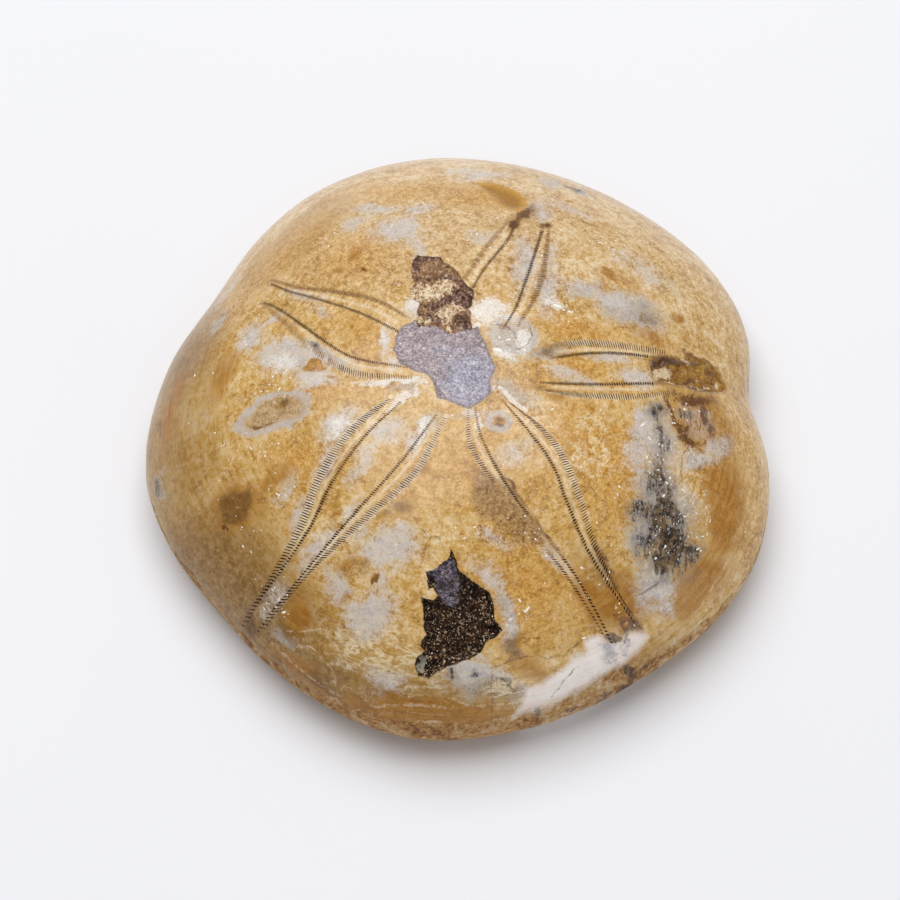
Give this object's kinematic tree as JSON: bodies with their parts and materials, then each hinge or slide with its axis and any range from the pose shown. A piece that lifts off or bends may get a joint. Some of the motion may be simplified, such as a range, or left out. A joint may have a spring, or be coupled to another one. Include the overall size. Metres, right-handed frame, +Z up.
{
  "type": "fossil sea urchin",
  "caption": "Polished fossil sea urchin: a low domed stone with a rounded five-lobed outline, a frontal notch and a petal pattern, resting flat on its underside.",
  "frame": {"origin": "under the middle of the outline, on the plane that the stone rests on", "axes": "+Z up through the dome, +X towards the frontal notch, +Y across the stone"},
  "size_m": [0.08, 0.0822, 0.0266],
  "materials": {
    "polished_stone": "polished golden brown calcite and sediment, glossy, roughness about 0.2"
  },
  "bodies": {
    "root": {"sea_urchin_fossil": "polished_stone"}
  },
  "joints": []
}
